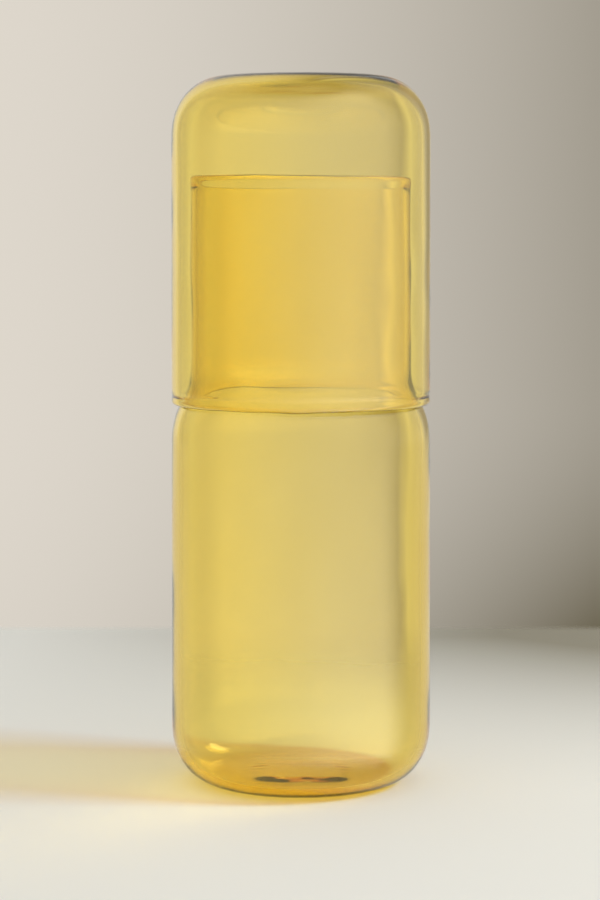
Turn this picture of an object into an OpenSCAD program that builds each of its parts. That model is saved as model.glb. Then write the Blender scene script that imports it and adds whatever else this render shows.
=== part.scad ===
// Bedside carafe with its tumbler, in blown amber glass
//
// The carafe is one piece of glass, and so is the tumbler that stands upside down over its neck.
// The origin is the middle of the foot on the table, and +Z runs up the axis that both share.
// Lengths are in millimetres. Each piece is a profile of arcs and straight walls, turned round
// that axis. The outer skin and the hollow are the same outline at two depths, so the wall holds
// its thickness round every curve.

/* [Body] */
// Outer diameter of the straight side, which the tumbler continues
body_d = 88; // [80:1:104]
// Height from the table at which the straight side ends and the shoulder starts
side_h = 117.3; // [100:0.1:140]
// Thickness of the body's wall
wall = 2.7; // [2.2:0.1:3.4]
// Radius of the shoulder's outward curve
shoulder_r = 25; // [21:0.5:29]
// Radius of the hollow curve that leads from the shoulder into the neck
hollow_r = 12; // [8:0.5:14]

/* [Foot] */
// Radius of the rounded heel, outside
heel_r = 16.5; // [12:0.5:20]
// Thickness of the flat glass between the hollow and the table
base_t = 2.8; // [2.4:0.1:5]
// Diameter of the punt, the slightly dished middle of the foot
punt_d = 34; // [26:1:42]
// Height of the punt
punt_rise = 0.4; // [0.2:0.1:1]
// Diameter of the low swell on the floor inside
swell_d = 38; // [30:1:46]
// Height of that swell
swell_rise = 0.5; // [0.3:0.1:1.5]

/* [Neck] */
// Length of the straight neck, from the top of its hollow curve to the lip
neck_h = 67.3; // [50:0.1:85]
// Clear gap all round between the neck and the tumbler's inside
neck_gap = 4.1; // [3:0.1:8]
// Thickness of the neck's wall, which the blowing drew out thinner
neck_wall = 1.9; // [1.6:0.1:2.2]
// Diameter of the melted bead along the lip
lip_bead_d = 2.7; // [2.3:0.1:3.2]

/* [Tumbler] */
// Thickness of the tumbler's wall
cup_wall = 2.5; // [2:0.1:2.8]
// Thickness of the tumbler's base, which is on top here
cup_base_t = 2.6; // [2.2:0.1:5]
// Radius of the rounded edge of its base
crown_r = 18; // [13:0.5:22]
// Diameter of the melted bead along its rim, flush with the outside of the wall
rim_bead_d = 2.9; // [2.8:0.1:3.4]
// Height left clear between the carafe's lip and the tumbler's base
headroom = 31.5; // [22:0.1:50]
// Gap left between the rim bead and the shoulder that it stands on
seat_gap = 0.25; // [0.2:0.05:0.3]

/* [Hidden] */
$fn = 128;

// How far a cut runs past the face that it opens
overrun = 1;

// Tints of the glass, which is paler where the tumbler is thinner
carafe_tint = [0.87, 0.71, 0.33, 0.6];
tumbler_tint = [0.89, 0.78, 0.48, 0.6];

body_r = body_d / 2;
neck_r = body_r - cup_wall - neck_gap;

// The shoulder's arc leaves the side upright, and the hollow's arc meets the neck upright.
// Their centres lie both radii apart, so that the two arcs touch without a corner.
shoulder_x = body_r - shoulder_r;
hollow_x = neck_r + hollow_r;
lip_z = neck_z(0, 0) + neck_h;

// The middle of the lip bead, on the middle of the neck's wall
lip_bead_r = lip_bead_d / 2;
lip_bead_x = neck_r - neck_wall / 2;
lip_bead_z = lip_z - lip_bead_r;

// The middle of the rim bead, which rests on the shoulder's arc across the seat gap
rim_bead_r = rim_bead_d / 2;
rim_bead_x = body_r - rim_bead_r;
rim_bead_z = side_h + leg(shoulder_r + seat_gap + rim_bead_r, rim_bead_x - shoulder_x);

// Undersides of the tumbler's base, inside and out
cup_floor_z = lip_z + headroom;
cup_top_z = cup_floor_z + cup_base_t;

// The other short side of a right-angled triangle with this long side and short side
function leg(long_side, short_side) = sqrt(long_side * long_side - short_side * short_side);

// Height at which the hollow curve ends in the upright neck, at these depths in body and neck
function neck_z(side_inset, neck_inset) =
    side_h + leg(shoulder_r - side_inset + hollow_r + neck_inset, hollow_x - shoulder_x);

// Radius of the ball whose cap has this width and height
function cap_r(width, height) = (width * width / 4 + height * height) / (2 * height);

// Half of an upright round vessel, from its floor to a height, with a rounded edge at its floor
module round_foot(side, floor_z, edge_r, top_z) {
    translate([0, floor_z]) square([side - edge_r, top_z - floor_z]);
    translate([0, floor_z + edge_r]) square([side, top_z - floor_z - edge_r]);
    translate([side - edge_r, floor_z + edge_r]) circle(edge_r);
}

// Half of the shoulder and neck up to a height, at these depths in body and neck
module shoulder_and_neck(side_inset, neck_inset, top_z) {
    hollow_z = neck_z(side_inset, neck_inset);
    intersection() {
        translate([0, side_h]) square([body_r, shoulder_r]);
        translate([shoulder_x, side_h]) circle(shoulder_r - side_inset);
    }
    difference() {
        polygon([[0, side_h], [shoulder_x, side_h], [hollow_x, hollow_z], [0, hollow_z]]);
        translate([hollow_x, hollow_z]) circle(hollow_r + neck_inset);
    }
    translate([0, hollow_z]) square([neck_r - neck_inset, top_z - hollow_z]);
}

// Half of the carafe's outer skin, up to the middle of its lip bead
module carafe_skin() {
    round_foot(body_r, 0, heel_r, side_h);
    shoulder_and_neck(0, 0, lip_bead_z);
}

// Half of the space inside the carafe, open at the lip, with the swell on its floor left out
module carafe_hollow() {
    difference() {
        round_foot(body_r - wall, base_t, heel_r - wall, side_h);
        dome(swell_d, swell_rise, base_t);
    }
    shoulder_and_neck(wall, neck_wall, lip_z + overrun);
}

// Half of a shallow dome on the axis, as wide and high as stated, with its foot at a height
module dome(width, height, foot_z) {
    ball_r = cap_r(width, height);
    intersection() {
        translate([0, foot_z - overrun]) square([width / 2, height + overrun]);
        translate([0, foot_z + height - ball_r]) circle(ball_r);
    }
}

module carafe() {
    color(carafe_tint) rotate_extrude() {
        difference() {
            carafe_skin();
            carafe_hollow();
            dome(punt_d, punt_rise, 0);
        }
        translate([lip_bead_x, lip_bead_z]) circle(lip_bead_r);
    }
}

// Half of the upturned tumbler's outline at a depth, between two heights
module tumbler_outline(inset, edge_r, low_z, top_z) {
    translate([0, low_z + top_z]) mirror([0, 1]) round_foot(body_r - inset, low_z, edge_r, top_z);
}

module tumbler() {
    color(tumbler_tint) rotate_extrude() {
        difference() {
            tumbler_outline(0, crown_r, rim_bead_z, cup_top_z);
            tumbler_outline(cup_wall, crown_r - cup_wall, rim_bead_z - overrun, cup_floor_z);
        }
        translate([rim_bead_x, rim_bead_z]) circle(rim_bead_r);
    }
}

carafe();
tumbler();
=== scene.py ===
# %% [markdown]
# # A bedside carafe with its tumbler
#
# A carafe of blown amber glass stands on a table, and its tumbler rests upside down over the neck.
# Both are thin round vessels, so there is little to see but the glass itself: how thick its wall
# is, how its edges were melted round, and what shows through it. That decides how they are made.
# Each vessel is drawn as the outline of its glass, turned once round the axis, and given a glass
# that takes its colour from its own thickness.

import math

import bpy
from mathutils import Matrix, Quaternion, Vector


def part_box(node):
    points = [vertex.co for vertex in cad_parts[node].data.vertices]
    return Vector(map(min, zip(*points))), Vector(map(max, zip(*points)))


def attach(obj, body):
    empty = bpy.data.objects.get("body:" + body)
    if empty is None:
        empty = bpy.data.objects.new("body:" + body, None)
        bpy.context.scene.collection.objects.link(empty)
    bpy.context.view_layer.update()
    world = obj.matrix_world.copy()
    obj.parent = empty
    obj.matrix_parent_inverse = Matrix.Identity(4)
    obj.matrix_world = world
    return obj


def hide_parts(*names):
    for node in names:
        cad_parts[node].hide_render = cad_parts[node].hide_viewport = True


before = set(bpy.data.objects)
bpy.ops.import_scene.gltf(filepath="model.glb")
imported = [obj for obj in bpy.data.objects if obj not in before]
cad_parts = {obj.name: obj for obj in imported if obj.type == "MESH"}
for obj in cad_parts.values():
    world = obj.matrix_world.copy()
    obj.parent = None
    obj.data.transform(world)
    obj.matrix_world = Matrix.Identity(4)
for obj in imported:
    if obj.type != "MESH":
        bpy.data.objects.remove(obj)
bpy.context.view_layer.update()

# %% [markdown]
# ## Sizes
#
# Every size starts from the measured solids, so the glass drawn here fills the same space. What
# the solids' boxes can't tell, such as the thickness of a wall or the curve of a heel, is written
# in millimetres, as a glassblower would give it.

# %% Sizes of the two vessels
MM = 0.001

carafe_low, carafe_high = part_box("carafe")
tumbler_low, tumbler_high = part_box("tumbler")

body_r = carafe_high[0]
lip_z = carafe_high[2]
rim_z = tumbler_low[2]
top_z = tumbler_high[2]

body_wall = 2.7 * MM
neck_wall = 1.9 * MM
cup_wall = 2.5 * MM
neck_r = body_r - cup_wall - 4.1 * MM
print("Body radius", body_r, "neck radius", neck_r, "lip at", lip_z, "rim at", rim_z)

# %% [markdown]
# ## Lines that bend as glass does
#
# Hot glass has no corners, and it doesn't go from a straight wall into a curve at one point either.
# Such a point can't be felt, but it shows, because clear glass bends the light at every change of
# curve. So a line is first laid out from straights and arcs, then given evenly spaced points, and
# then eased: each point moves towards the middle of its neighbours, again and again.

# %% Arcs and straights
def arc(centre_x, centre_z, wide, tall, start, end, steps=24):
    """Points on an ellipse from one angle to another, in degrees from the +X side."""
    turns = [math.radians(start + (end - start) * i / steps) for i in range(steps + 1)]
    return [(centre_x + wide * math.cos(t), centre_z + tall * math.sin(t)) for t in turns]


def evenly(points, gap):
    """The same line, with its points this far apart."""
    reached = [0.0]
    for start, end in zip(points, points[1:]):
        reached.append(reached[-1] + math.dist(start, end))
    steps = max(1, round(reached[-1] / gap))
    line, piece = [], 0
    for i in range(steps + 1):
        along = reached[-1] * i / steps
        while piece < len(points) - 2 and reached[piece + 1] < along:
            piece += 1
        share = (along - reached[piece]) / (reached[piece + 1] - reached[piece])
        line.append(tuple(a + (b - a) * share for a, b in zip(points[piece], points[piece + 1])))
    return line


# %% Easing
POINT_GAP = 1.25 * MM
EASING_ROUNDS = 8


def eased(points):
    """The same line with its changes of curve eased, and its ends left where they are."""
    line = evenly(points, POINT_GAP)
    for _ in range(EASING_ROUNDS):
        moved = [
            ((ax + 2 * bx + cx) / 4, (az + 2 * bz + cz) / 4)
            for (ax, az), (bx, bz), (cx, cz) in zip(line, line[1:], line[2:])
        ]
        line = [line[0], *moved, line[-1]]
    return line


# %% [markdown]
# ## From a line to a vessel
#
# In Edit Mode a line is one vertex, extruded again and again. A plane is added, its four corners
# are merged into one vertex, and each further point is an extrusion of the last. Spin then turns
# the line once round the axis. The line is the whole section of the glass, outside and inside, so
# the spin closes it into one skin with glass between, which is what refraction needs. A Solidify
# modifier on a single skin would be quicker, but then the edges could not swell where they melted.

# %% Draw a line and turn it
TURN_STEPS = 160
MERGE_GAP = 0.004 * MM


def draw_line(name, points):
    """Extrudes one vertex through the points, and leaves the line in Edit Mode."""
    bpy.ops.object.select_all(action="DESELECT")
    x, z = points[0]
    bpy.ops.mesh.primitive_plane_add(size=MM, location=(x, 0, z))
    line = bpy.context.object
    line.name = line.data.name = name
    bpy.ops.object.transform_apply(location=True)
    bpy.ops.object.mode_set(mode="EDIT")
    bpy.ops.mesh.select_all(action="SELECT")
    bpy.ops.mesh.merge(type="CENTER")
    for new_x, new_z in points[1:]:
        if math.dist((x, z), (new_x, new_z)) > 2 * MERGE_GAP:
            step = (new_x - x, 0, new_z - z)
            bpy.ops.mesh.extrude_region_move(TRANSFORM_OT_translate={"value": step})
            x, z = new_x, new_z
    return line


def turn_line(line):
    """Turns the line once round the axis and closes it into one skin of glass."""
    bpy.ops.mesh.select_all(action="SELECT")
    bpy.ops.mesh.spin(steps=TURN_STEPS, angle=math.tau, center=(0, 0, 0), axis=(0, 0, 1))
    bpy.ops.mesh.select_all(action="SELECT")
    bpy.ops.mesh.remove_doubles(threshold=MERGE_GAP)
    bpy.ops.mesh.normals_make_consistent(inside=False)
    bpy.ops.object.mode_set(mode="OBJECT")
    bpy.ops.object.shade_smooth()
    print(line.name, "has", len(line.data.vertices), "vertices")


# %% [markdown]
# ## A melted edge
#
# The lip and the rim were held in a flame until they ran round. The wall swells a little just
# before such an edge and then closes in a half round. Both edges are the same curve with other
# sizes, one pointing up and one pointing down, so one function draws them.

# %% A melted edge
EDGE_STEPS = 18
SWELL_STEPS = 12


def swell(share):
    """Goes gently from 0 to 1."""
    return 0.5 - 0.5 * math.cos(math.pi * share)


def melted_edge(outer_x, inner_x, edge_z, way, tall, bulges, reach, pinch=0.0):
    """From the outer wall round the edge to the inner wall. The way is 1 for up and -1 for down."""
    outer_bulge, inner_bulge = bulges
    wide = (outer_x + outer_bulge - inner_x + inner_bulge) / 2
    middle_x = outer_x + outer_bulge - wide
    middle_z = edge_z - way * tall
    shares = [i / SWELL_STEPS for i in range(SWELL_STEPS)]
    outside = [
        (
            outer_x + outer_bulge * swell(s) - pinch * math.sin(math.pi * s) ** 2,
            middle_z - way * reach * (1 - s),
        )
        for s in shares
    ]
    inside = [(inner_x - inner_bulge * swell(s), middle_z - way * reach * (1 - s)) for s in shares]
    edge = arc(middle_x, middle_z, wide, way * tall, 0, 180, EDGE_STEPS)
    return outside + edge + inside[::-1]


# %% [markdown]
# ## The carafe
#
# The section starts under the foot, on the axis, and runs once round the glass: over the shallow
# punt and the flat ring that the carafe stands on, round the heel, up the side, over the shoulder
# into the neck, round the melted lip, and down the inside to the low swell on the floor. The
# shoulder and the hollow above it are two arcs that touch. The same sum gives the height of the
# hollow outside and inside, with the depth of the wall taken off one radius and added to the other.

# %% Foot and heel
heel_wide, heel_tall = 14.5 * MM, 19 * MM
base_thick = 2.8 * MM
punt_r, punt_rise = 17 * MM, 0.25 * MM
swell_r, swell_rise = 24 * MM, 0.05 * MM


def shallow_dome(radius, rise, foot_z, edge, steps=30):
    """Points of a shallow dome from the axis out to its foot. A higher edge ends it more abruptly."""
    shares = [i / steps for i in range(steps + 1)]
    return [(radius * s, foot_z + rise * (1 - s * s) * (1 - s ** edge)) for s in shares]


def heel(depth, floor_z):
    """The rounded heel, from the floor out to the side, this deep inside the outer skin."""
    wide, tall = heel_wide - depth, heel_tall - floor_z
    return arc(body_r - heel_wide, heel_tall, wide, tall, -90, 0)


# %% Shoulder and neck
side_z = 117.3 * MM
shoulder_r = 25 * MM
hollow_r = 12 * MM


def shoulder(body_depth, neck_depth):
    """The shoulder and the hollow above it, at these depths inside the outer skin."""
    out_r = shoulder_r - body_depth
    in_r = hollow_r + neck_depth
    shoulder_x, hollow_x = body_r - shoulder_r, neck_r + hollow_r
    across = hollow_x - shoulder_x
    hollow_z = side_z + math.sqrt((out_r + in_r) ** 2 - across ** 2)
    lean = math.degrees(math.atan2(hollow_z - side_z, across))
    outward = arc(shoulder_x, side_z, out_r, out_r, 0, lean)
    inward = arc(hollow_x, hollow_z, in_r, in_r, 180 + lean, 180)
    return outward + inward


# %% The carafe's section
lip_tall, lip_bulge, lip_reach = 1.3 * MM, 0.2 * MM, 4 * MM


def carafe_section():
    """The whole section of the glass, from under the foot round to the floor inside."""
    lip = melted_edge(neck_r, neck_r - neck_wall, lip_z, 1, lip_tall, (lip_bulge, lip_bulge), lip_reach)
    punt = shallow_dome(punt_r, punt_rise, 0, 2)
    floor_swell = shallow_dome(swell_r, swell_rise, base_thick, 2)
    outside = [punt[-1], *heel(0, 0), *shoulder(0, 0), lip[0]]
    inside = [floor_swell[-1], *heel(body_wall, base_thick), *shoulder(body_wall, neck_wall), lip[-1]]
    return punt + eased(outside) + lip + eased(inside)[::-1] + floor_swell[::-1]


carafe = draw_line("carafe_glass", carafe_section())
turn_line(carafe)

# %% [markdown]
# ## The tumbler
#
# The tumbler is upside down, so its section starts on top, at the middle of its base. It runs out
# over the rounded edge and down the side to the melted rim, then back up inside. The rim is flush
# with the outside, with a faint pinch above it where the tumbler was cut from the pipe.

# %% The tumbler's section
crown_wide, crown_tall = 17.3 * MM, 19.1 * MM
cup_base_thick = 2.6 * MM
rim_tall, rim_bulge, rim_reach, rim_pinch = 1.45 * MM, 0.3 * MM, 3.6 * MM, 0.2 * MM


def crown(depth, base_depth):
    """The rounded edge of the base, from the top down to the side, this deep inside the skin."""
    wide, tall = crown_wide - depth, crown_tall - base_depth
    return arc(body_r - crown_wide, top_z - crown_tall, wide, tall, 90, 0)


def tumbler_section():
    """The whole section of the glass, from the top of its base round to the same place inside."""
    bulges = (0, rim_bulge)
    rim = melted_edge(body_r, body_r - cup_wall, rim_z, -1, rim_tall, bulges, rim_reach, rim_pinch)
    outside = [(0, top_z), *crown(0, 0), rim[0]]
    inside = [(0, top_z - cup_base_thick), *crown(cup_wall, cup_base_thick), rim[-1]]
    return eased(outside) + rim + eased(inside)[::-1]


tumbler = draw_line("tumbler_glass", tumbler_section())
turn_line(tumbler)

# %% [markdown]
# ## What the hands left behind
#
# Nothing blown by hand is quite round or quite level. The walls waver by a tenth of a millimetre,
# which a Displace modifier on a cloud texture gives. Along the lip and along the rim there are
# single slips, and each is made as by hand: one point is picked and dragged, with proportional
# editing, so that the glass around it follows.

# %% Wavering walls
WAVER = 0.14 * MM
WAVER_SIZE = 28 * MM


def waver(piece):
    """Pushes the skin in and out a little along its normals."""
    clouds = bpy.data.textures.new(piece.name + " waver", "CLOUDS")
    clouds.noise_scale = WAVER_SIZE
    clouds.noise_depth = 1
    bpy.ops.object.select_all(action="DESELECT")
    piece.select_set(True)
    bpy.context.view_layer.objects.active = piece
    bpy.ops.object.modifier_add(type="DISPLACE")
    push = piece.modifiers[-1]
    push.texture = clouds
    push.texture_coords = "LOCAL"
    push.strength = WAVER
    push.mid_level = 0.5
    bpy.ops.object.modifier_apply(modifier=push.name)
    bpy.data.textures.remove(clouds)


for piece in (carafe, tumbler):
    waver(piece)


# %% Slips of the hand
def nearest(piece, place):
    """The number of the point of glass that is nearest to a place."""
    return min(piece.data.vertices, key=lambda v: (v.co - Vector(place)).length_squared).index


def drag(piece, picked, step, reach):
    """Drags the picked points of glass by a step, and the glass within reach follows."""
    bpy.ops.object.select_all(action="DESELECT")
    piece.select_set(True)
    bpy.context.view_layer.objects.active = piece
    bpy.ops.object.mode_set(mode="EDIT")
    bpy.ops.mesh.select_all(action="DESELECT")
    bpy.ops.object.mode_set(mode="OBJECT")
    for index in picked:
        piece.data.vertices[index].select = True
    bpy.ops.object.mode_set(mode="EDIT")
    bpy.ops.transform.translate(
        value=step,
        use_proportional_edit=True,
        use_proportional_connected=True,
        proportional_edit_falloff="SMOOTH",
        proportional_size=reach,
    )
    bpy.ops.object.mode_set(mode="OBJECT")


def round_place(turn, radius, z):
    """A place on a circle. The turn is in degrees from the front, towards the right."""
    t = math.radians(turn)
    return (radius * math.sin(t), -radius * math.cos(t), z)


# turn in degrees, rise and reach in millimetres
LIP_SLIPS = ((-90, 0.3, 60), (90, -0.3, 60), (-25, 0.12, 14), (20, -0.1, 12), (60, 0.1, 10))
RIM_SLIPS = ((-3, -0.3, 7), (-35, 0.08, 9), (30, 0.08, 10))
for turn, rise, reach in LIP_SLIPS:
    picked = nearest(carafe, round_place(turn, neck_r - neck_wall / 2, lip_z))
    drag(carafe, [picked], (0, 0, rise * MM), reach * MM)
for turn, rise, reach in RIM_SLIPS:
    picked = nearest(tumbler, round_place(turn, body_r - cup_wall / 2, rim_z))
    drag(tumbler, [picked], (0, 0, rise * MM), reach * MM)

# %% [markdown]
# ## The floor inside
#
# The glass is thickest in the middle of the foot, where the gather hung from the pipe. From above
# this can hardly be seen. From the side, the slope that faces the viewer bends the light down to
# the foot, which mirrors it back into the glass, so a small dark lens seems to lie in the base. So
# the middle of the floor is picked and raised, with a level top behind the slope, and two small
# drips break the slope's edge. Connected only keeps the underside of the foot where it is.

# %% The floor inside
FLOOR_WIDE, FLOOR_FRONT, FLOOR_BACK = 11 * MM, -15 * MM, 12 * MM
FLOOR_RISE, FLOOR_REACH = 0.7 * MM, 7.5 * MM
# x, y, rise and reach in millimetres
FLOOR_DRIPS = ((2, -18, -0.22, 3.5), (-6, -19, 0.2, 3))


def on_floor(point):
    """Whether a point of glass lies in the middle of the floor inside."""
    level = base_thick / 2 < point.z < 2 * base_thick
    return level and abs(point.x) < FLOOR_WIDE and FLOOR_FRONT < point.y < FLOOR_BACK


middle = [v.index for v in carafe.data.vertices if on_floor(v.co)]
drag(carafe, middle, (0, 0, FLOOR_RISE), FLOOR_REACH)
for x, y, rise, reach in FLOOR_DRIPS:
    picked = nearest(carafe, (x * MM, y * MM, base_thick + FLOOR_RISE / 2))
    drag(carafe, [picked], (0, 0, rise * MM), reach * MM)
print("Raised", len(middle), "points of the floor")

# %% Hand the pieces to their bodies
for piece, body in ((carafe, "carafe"), (tumbler, "tumbler")):
    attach(piece, body)
    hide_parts(body)
    print(piece.name, "measures", [round(side / MM, 1) for side in piece.dimensions], "mm")

# %% [markdown]
# ## Wiring materials
#
# The glass, the floor and the room are all wired from the same few nodes, so each of those gets a
# helper of one line to use. A value can be a number, a colour or what another node puts out.

# %% Helpers for nodes
def wire(tree, socket, value):
    """Gives a socket another node's output, a colour or a number."""
    if isinstance(value, bpy.types.NodeSocket):
        tree.links.new(value, socket)
    elif isinstance(value, tuple):
        socket.default_value = (*value, 1)
    else:
        socket.default_value = value


def reckon(tree, operation, first, second=0.0):
    """A Math node."""
    node = tree.nodes.new("ShaderNodeMath")
    node.operation = operation
    wire(tree, node.inputs[0], first)
    wire(tree, node.inputs[1], second)
    return node.outputs[0]


def spread(tree, value, low, high, to_low=0.0, to_high=1.0, kind="LINEAR"):
    """A Map Range node, which holds at its ends."""
    node = tree.nodes.new("ShaderNodeMapRange")
    node.interpolation_type = kind
    sockets = ("Value", "From Min", "From Max", "To Min", "To Max")
    for name, part in zip(sockets, (value, low, high, to_low, to_high)):
        wire(tree, node.inputs[name], part)
    return node.outputs["Result"]


def between(tree, share, first, second, kind="FLOAT"):
    """A Mix node, for two numbers, or for two colours with the kind RGBA."""
    node = tree.nodes.new("ShaderNodeMix")
    node.data_type = kind
    start, out = (6, 2) if kind == "RGBA" else (2, 0)
    wire(tree, node.inputs[0], share)
    wire(tree, node.inputs[start], first)
    wire(tree, node.inputs[start + 1], second)
    return node.outputs[out]


def mix_shaders(tree, share, first, second):
    """A Mix Shader node."""
    node = tree.nodes.new("ShaderNodeMixShader")
    for socket, value in zip(node.inputs, (share, first, second)):
        wire(tree, socket, value)
    return node.outputs[0]


def paint(red, green, blue):
    """A colour as a screen shows it, from 0 to 255, turned into light."""
    shares = (c / 255 for c in (red, green, blue))
    return tuple(s / 12.92 if s <= 0.04045 else ((s + 0.055) / 1.055) ** 2.4 for s in shares)


# %% [markdown]
# ## Amber glass
#
# Coloured glass has no colour on its surface. Light loses its blue on the way through, so a wall
# seen along its length is a deep amber, and the same wall seen square on is pale straw. A painted
# surface can't do that. The surface here is clear, and a Volume Absorption inside takes the light
# away by the metre, a little green and nearly all of the blue. Where light only passes on to the
# floor, the surface is plain transparent, so that the shadow is amber too and free of noise. Blown
# glass also keeps faint upright draw lines, too low for the mesh, and a bump gives those.

# %% Amber glass
AMBER_LOSS = (10.0, 46.0, 283.0)
DRAW_LINES = (130.0, 130.0, 9.0)
DRAW_DEPTH = 0.012 * MM


def draw_lines(tree):
    """A bump of faint upright lines."""
    place = tree.nodes.new("ShaderNodeTexCoord")
    stretch = tree.nodes.new("ShaderNodeMapping")
    stretch.inputs["Scale"].default_value = DRAW_LINES
    tree.links.new(place.outputs["Object"], stretch.inputs["Vector"])
    noise = tree.nodes.new("ShaderNodeTexNoise")
    noise.inputs["Scale"].default_value = 1.0
    noise.inputs["Detail"].default_value = 1.0
    tree.links.new(stretch.outputs[0], noise.inputs["Vector"])
    bump = tree.nodes.new("ShaderNodeBump")
    bump.inputs["Distance"].default_value = DRAW_DEPTH
    tree.links.new(noise.outputs[0], bump.inputs["Height"])
    return bump.outputs[0]


def amber_glass(name):
    """A clear skin with faint draw lines, and amber inside."""
    material = bpy.data.materials.new(name)
    material.use_nodes = True
    tree = material.node_tree
    output, glass = tree.nodes["Material Output"], tree.nodes["Principled BSDF"]
    glass.inputs["Base Color"].default_value = (1, 1, 1, 1)
    glass.inputs["Roughness"].default_value = 0.0
    glass.inputs["IOR"].default_value = 1.48
    glass.inputs["Transmission Weight"].default_value = 1.0
    tree.links.new(draw_lines(tree), glass.inputs["Normal"])
    clear = tree.nodes.new("ShaderNodeBsdfTransparent")
    path = tree.nodes.new("ShaderNodeLightPath")
    skin = mix_shaders(tree, path.outputs["Is Shadow Ray"], glass.outputs[0], clear.outputs[0])
    tree.links.new(skin, output.inputs["Surface"])
    inside = tree.nodes.new("ShaderNodeVolumeAbsorption")
    most = max(AMBER_LOSS)
    inside.inputs["Color"].default_value = (*[1 - loss / most for loss in AMBER_LOSS], 1)
    inside.inputs["Density"].default_value = most
    tree.links.new(inside.outputs[0], output.inputs["Volume"])
    return material


carafe.data.materials.append(amber_glass("carafe amber glass"))
tumbler.data.materials.append(amber_glass("tumbler amber glass"))
kept = [round(math.exp(-loss * 2 * body_wall), 2) for loss in AMBER_LOSS]
print("Share of red, green and blue that passes two walls", kept)

# %% [markdown]
# ## The table
#
# The table is a pale plane with painted shade: its colour gets darker away from the window light,
# at the back on the right.
# Its far edge fades into the wall, and light that comes through the glass finds a longer fade, so
# that no hard line crosses the vessels. Where the glass mirrors the table, only a patch around the
# foot is kept. The rest of the mirror image is the room, which gives the glass its pale edges. The
# Light Path node tells such rays by their Transmission Depth and their Glossy Depth.

# %% The table
TABLE_SIZE = 3.0
TABLE_BACK = 0.335
TABLE_DROP = 0.15 * MM
# the lit colour of the table, and the painted shade that it darkens to
TABLE_LIGHT, TABLE_PAINTED_SHADE = paint(231, 228, 218), paint(141, 135, 118)
# where the painted shade on the table starts and stops, towards the back and from left to right
DIM_ALONG, DIM_CURVE = (-0.03, 0.30), 1.5
DIM_ASIDE, DIM_SHARES = (-0.13, 0.13), (0.1, 1.15)
# where it starts to fade out at the back, seen openly and through the glass
FADE_OPEN, FADE_THROUGH = TABLE_BACK - 0.02, 0.10
# how far from the foot it fades out, in the mirror image and seen openly
FADE_MIRRORED, FADE_AWAY = (0.045, 0.075), (0.9, 1.4)


def table_painted_shade(tree, along, aside):
    """Pale, with painted shade that darkens it towards the back, most of all on the right."""
    back = reckon(tree, "POWER", spread(tree, along, *DIM_ALONG), DIM_CURVE)
    dim = reckon(tree, "MULTIPLY", back, spread(tree, aside, *DIM_ASIDE, *DIM_SHARES))
    return between(tree, dim, TABLE_LIGHT, TABLE_PAINTED_SHADE, "RGBA")


def table_fade(tree, along, aside):
    """1 where the table has ended. Mirrored rays find only what lies under the foot."""
    path = tree.nodes.new("ShaderNodeLightPath")
    mirrored = reckon(tree, "GREATER_THAN", path.outputs["Glossy Depth"], 0.5)
    through = reckon(tree, "GREATER_THAN", path.outputs["Transmission Depth"], 0.5)
    fade_start = between(tree, through, FADE_OPEN, FADE_THROUGH)
    back = spread(tree, along, fade_start, TABLE_BACK, kind="SMOOTHSTEP")
    square = reckon(tree, "MULTIPLY", aside, aside)
    away = reckon(tree, "SQRT", reckon(tree, "ADD", square, reckon(tree, "MULTIPLY", along, along)))
    near = spread(tree, away, *FADE_MIRRORED, kind="SMOOTHSTEP")
    far = spread(tree, away, *FADE_AWAY, kind="SMOOTHSTEP")
    around = reckon(tree, "MAXIMUM", reckon(tree, "MULTIPLY", near, mirrored), far)
    return reckon(tree, "MAXIMUM", back, around)


def make_table():
    """A plane just under the foot, which is at the origin."""
    bpy.ops.object.select_all(action="DESELECT")
    middle_y = TABLE_BACK - TABLE_SIZE / 2
    bpy.ops.mesh.primitive_plane_add(size=TABLE_SIZE, location=(0, middle_y, -TABLE_DROP))
    table = bpy.context.object
    table.name = "table"
    bpy.ops.object.transform_apply(location=True)
    material = bpy.data.materials.new("pale table")
    material.use_nodes = True
    tree = material.node_tree
    matt = tree.nodes["Principled BSDF"]
    matt.inputs["Roughness"].default_value = 0.9
    matt.inputs["Specular IOR Level"].default_value = 0.1
    place = tree.nodes.new("ShaderNodeTexCoord")
    axes = tree.nodes.new("ShaderNodeSeparateXYZ")
    tree.links.new(place.outputs["Object"], axes.inputs[0])
    aside, along = axes.outputs["X"], axes.outputs["Y"]
    wire(tree, matt.inputs["Base Color"], table_painted_shade(tree, along, aside))
    gone = tree.nodes.new("ShaderNodeBsdfTransparent")
    skin = mix_shaders(tree, table_fade(tree, along, aside), matt.outputs[0], gone.outputs[0])
    wire(tree, tree.nodes["Material Output"].inputs["Surface"], skin)
    table.data.materials.append(material)
    return table


table = make_table()

# %% [markdown]
# ## The room
#
# Clear glass shows mostly the room around it, so the room is wired into the world, by the
# direction of each ray: its turn round the upright axis and its slope. Behind the glass is a plain
# wall with painted shade, darker to the right and at the bottom. Further round are the dimmer sides
# of the room. In front, behind the camera, is a wide pale window light, brighter on the right, and
# only mirrored rays see how bright it is: a camera that looks straight at it, or straight through
# the glass at it, finds a plain pale room. Above is a dim ceiling, which the melted edges bend into
# thin dark lines. The table and anything else that isn't glossy gets one even light, so that its
# colour comes out as it was written.

# %% The wall behind
# the lit colour of the wall, and the painted shade that it darkens to
WALL_LIGHT, WALL_PAINTED_SHADE = paint(222, 215, 204), paint(105, 98, 78)
WALL_TURNS, WALL_DIMMEST, WALL_CURVE = (-7.2, 6.5), 0.72, 1.5
# the wall's painted shade is darker at the bottom, most of all on the right
WALL_LOW_SLOPES, WALL_LOW_CURVE = (-0.072, -0.158), 1.6
WALL_LOW_RIGHT, WALL_LOW_ALL = 0.5, 0.05
# how much of that painted shade low down is found by light that comes through the glass
WALL_LOW_THROUGH = 0.1


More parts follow.
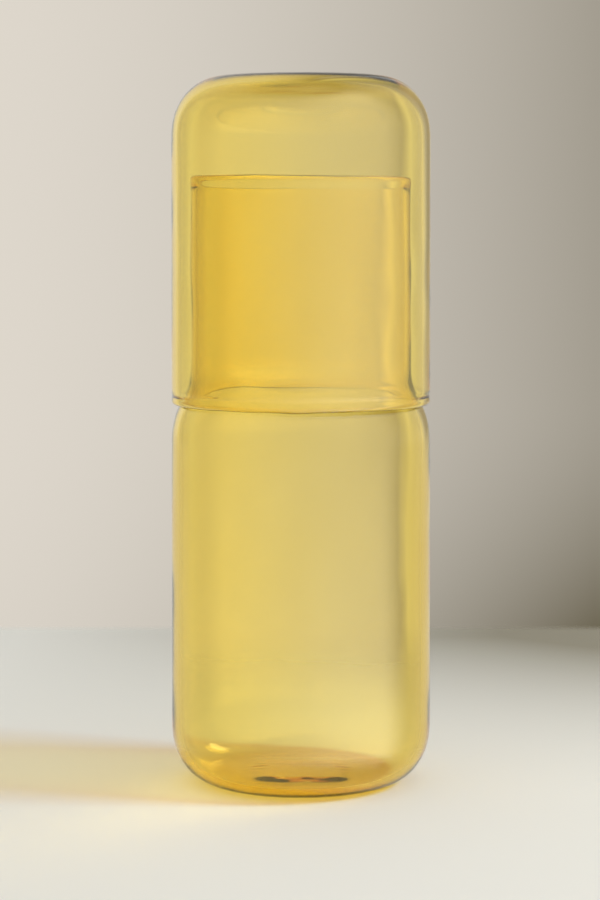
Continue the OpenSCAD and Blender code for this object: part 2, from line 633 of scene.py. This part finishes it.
def wall_behind(tree, turn, slope, through):
    """Colour of the wall by direction, with its shade painted in. The turn is in radians from straight
    behind.
    """
    right = spread(tree, turn, *[math.radians(t) for t in WALL_TURNS], 0.0, WALL_DIMMEST)
    right = reckon(tree, "POWER", right, WALL_CURVE)
    low = reckon(tree, "POWER", spread(tree, slope, *WALL_LOW_SLOPES), WALL_LOW_CURVE)
    low = reckon(tree, "MULTIPLY", low, between(tree, through, 1.0, WALL_LOW_THROUGH))
    low_right = reckon(tree, "ADD", reckon(tree, "MULTIPLY", low, WALL_LOW_RIGHT), 1.0)
    more = reckon(tree, "MULTIPLY", right, low_right)
    dim = reckon(tree, "ADD", more, reckon(tree, "MULTIPLY", low, WALL_LOW_ALL))
    return between(tree, dim, WALL_LIGHT, WALL_PAINTED_SHADE, "RGBA")


# %% The sides of the room
ROOM_TONE = (1.0, 0.98, 0.92)
# degrees from straight behind, negative on the left, and how light the room is there
SIDE_LIGHTS = (
    (-62, 0.5), (-40, 0.55), (-33, 0.9), (-14, 0.75),
    (9, 0.85), (13, 0.5), (20, 0.35), (28, 0.42), (37, 0.9), (80, 1.0),
)


def sides_of_room(tree, turn):
    """Colour of the sides by direction, from a ramp that runs once round the room."""
    around = spread(tree, turn, -math.pi, math.pi)
    ramp = tree.nodes.new("ShaderNodeValToRGB")
    stops = ramp.color_ramp.elements
    stops.remove(stops[1])
    for degrees, level in SIDE_LIGHTS:
        stop = stops.new((degrees + 180) / 360)
        stop.color = (*[level * tone for tone in ROOM_TONE], 1)
    stops.remove(stops[0])
    wire(tree, ramp.inputs[0], around)
    return ramp.outputs[0]


# %% The front of the room
FRONT_SEEN = 0.97
FRONT_LEFT, FRONT_RIGHT = 0.45, 2.6
FRONT_SHARES = (0.15, 0.85)
FRONT_LOW_SLOPES, FRONT_LOW_GAIN = (-0.09, -0.2), 1.4
# turns from straight behind at which the sides give way to the front
RIGHT_EDGE = (math.radians(66), math.radians(106))
LEFT_EDGE = (math.radians(-45), math.radians(-75))


def front_mask(tree, turn):
    """1 where a direction looks at the front of the room."""
    right = spread(tree, turn, *RIGHT_EDGE, kind="SMOOTHSTEP")
    left = spread(tree, turn, *LEFT_EDGE, kind="SMOOTHSTEP")
    return reckon(tree, "MAXIMUM", right, left)


def front_light(tree, turn, slope):
    """Brightness that mirrored rays find, from the left round past the camera to the right."""
    left = spread(tree, turn, -math.pi, math.radians(-60), 0.5, 0.0)
    right = spread(tree, turn, math.radians(90), math.pi, 1.0, 0.5)
    share = between(tree, reckon(tree, "GREATER_THAN", turn, 0.0), left, right)
    light = spread(tree, share, *FRONT_SHARES, FRONT_LEFT, FRONT_RIGHT, "SMOOTHSTEP")
    low = spread(tree, slope, *FRONT_LOW_SLOPES, 1.0, FRONT_LOW_GAIN)
    return reckon(tree, "MULTIPLY", light, low)


# %% The ceiling
CEILING_SLOPES, CEILING_LIGHT = (1.1, 2.8), 0.15
# light that came through more skins than these, which is a melted edge of one vessel and the walls
# of both, finds the dark at lower slopes
MANY_SKINS = 5.5
EDGE_SLOPES, EDGE_LIGHT = (0.55, 0.9), 0.0


def ceiling_light(tree, slope, skins, mirrored):
    """Share of its brightness that the room keeps, by slope."""
    deep = reckon(tree, "GREATER_THAN", skins, MANY_SKINS)
    deep = between(tree, mirrored, deep, 0.0)
    start, end = (between(tree, deep, *pair) for pair in zip(CEILING_SLOPES, EDGE_SLOPES))
    ceiling = spread(tree, slope, start, end, kind="SMOOTHSTEP")
    return between(tree, ceiling, 1.0, between(tree, deep, CEILING_LIGHT, EDGE_LIGHT))


# %% The room
TABLE_FAR = paint(222, 218, 206)
WALL_ENDS = (math.radians(7), math.radians(10))
TABLE_SLOPES = (-0.02, -0.12)
AMBIENT, AMBIENT_TONE = 0.58, (0.95, 0.975, 1.0)


def make_room():
    """Wires the wall, the sides, the front and the ceiling into the world."""
    world = bpy.data.worlds.new("studio")
    bpy.context.scene.world = world
    world.use_nodes = True
    tree = world.node_tree
    place = tree.nodes.new("ShaderNodeTexCoord")
    axes = tree.nodes.new("ShaderNodeSeparateXYZ")
    wire(tree, axes.inputs[0], place.outputs["Generated"])
    x, y, z = axes.outputs
    turn = reckon(tree, "ARCTAN2", x, y)
    level = reckon(tree, "SQRT", reckon(tree, "SUBTRACT", 1.0, reckon(tree, "MULTIPLY", z, z)))
    slope = reckon(tree, "DIVIDE", z, level)

    path = tree.nodes.new("ShaderNodeLightPath")
    mirrored = reckon(tree, "GREATER_THAN", path.outputs["Glossy Depth"], 0.5)
    skins = path.outputs["Transmission Depth"]
    through = reckon(tree, "GREATER_THAN", skins, 0.5)
    off_axis = spread(tree, reckon(tree, "ABSOLUTE", turn), *WALL_ENDS)
    below = spread(tree, slope, *TABLE_SLOPES)
    sides = between(tree, below, sides_of_room(tree, turn), TABLE_FAR, "RGBA")
    back = between(tree, off_axis, wall_behind(tree, turn, slope, through), sides, "RGBA")
    front = front_mask(tree, turn)
    front_seen = between(tree, mirrored, FRONT_SEEN, front_light(tree, turn, slope))
    brightness = between(tree, front, 1.0, front_seen)
    colour = between(tree, front, back, ROOM_TONE, "RGBA")
    above = ceiling_light(tree, slope, skins, mirrored)
    brightness = reckon(tree, "MULTIPLY", brightness, above)

    even = path.outputs["Is Diffuse Ray"]
    background = tree.nodes["Background"]
    wire(tree, background.inputs["Color"], between(tree, even, colour, AMBIENT_TONE, "RGBA"))
    wire(tree, background.inputs["Strength"], between(tree, even, brightness, AMBIENT))
    world.cycles.sampling_method = "NONE"


make_room()

# %% [markdown]
# ## The lamps
#
# One broad lamp high on the right casts the long soft shadow to the left. It is kept out of
# reflections and of light that comes through the glass, because the glass shows no such square
# light. A small one behind on the right gives the single bright mark where the heel catches the
# window. Light linking lets it reach the carafe alone, so that the table stays plain.

# %% The lamps
AIM = Vector((0, 0, 0.05))


def softbox(name, turn, height, distance, wide, tall, brightness, roll=0.0):
    """An area lamp that aims at the carafe, with a face this bright, where 1 is white.

    The turn is in degrees from +X towards +Y, the height in degrees above the table, and the roll
    in degrees round the way that the lamp faces.
    """
    t, h = math.radians(turn), math.radians(height)
    way = Vector((math.cos(h) * math.cos(t), math.cos(h) * math.sin(t), math.sin(h)))
    bpy.ops.object.light_add(type="AREA", location=AIM + way * distance)
    lamp = bpy.context.object
    lamp.name = lamp.data.name = name
    rolled = Quaternion((0, 0, 1), math.radians(roll))
    lamp.rotation_euler = (way.to_track_quat("Z", "Y") @ rolled).to_euler()
    lamp.data.shape = "RECTANGLE"
    lamp.data.size, lamp.data.size_y = wide, tall
    lamp.data.energy = brightness * math.pi * wide * tall
    lamp.visible_camera = False
    lamp.visible_glossy = False
    return lamp


key_lamp = softbox(
    "key lamp", turn=-12, height=38, distance=2.0, wide=0.5, tall=0.5, brightness=36.0
)
key_lamp.visible_transmission = False
mark_lamp = softbox(
    "small window", turn=46, height=36, distance=1.3, wide=0.26, tall=0.5, brightness=8.0, roll=-40
)
marked = bpy.data.collections.new("marked by the small window")
marked.objects.link(carafe)
mark_lamp.light_linking.receiver_collection = marked

# %% [markdown]
# ## The camera
#
# The camera looks almost level from the height of the lip, with a long lens, so the sides stay
# upright. It is tilted down by less than two degrees, and the lens is shifted to bring the whole
# object into the picture. The view transform is Standard, so a colour comes out as written. Light
# crosses up to twelve skins of glass on its way through both vessels, so many bounces are allowed.
# Mirrored bounces are fewer: light that is caught inside the base of the carafe would come out a
# deep red after ten or more, and the base's dark lens is a plain brown.

# %% The camera
CAMERA_AWAY = 0.88
CAMERA_HEIGHT = 0.1924
CAMERA_TILT = 1.86
LENS = 103.58
SHIFT_ASIDE, SHIFT_DOWN = -0.001, -1 / 6
BOUNCES, MIRRORED_BOUNCES = 24, 8

bpy.ops.object.camera_add(
    location=(0, -CAMERA_AWAY, CAMERA_HEIGHT), rotation=(math.radians(90 - CAMERA_TILT), 0, 0)
)
camera = bpy.context.object
camera.data.lens = LENS
camera.data.shift_x, camera.data.shift_y = SHIFT_ASIDE, SHIFT_DOWN
scene = bpy.context.scene
scene.camera = camera

scene.view_settings.view_transform = "Standard"
scene.cycles.max_bounces = BOUNCES
scene.cycles.transmission_bounces = BOUNCES
scene.cycles.transparent_max_bounces = BOUNCES
scene.cycles.glossy_bounces = MIRRORED_BOUNCES
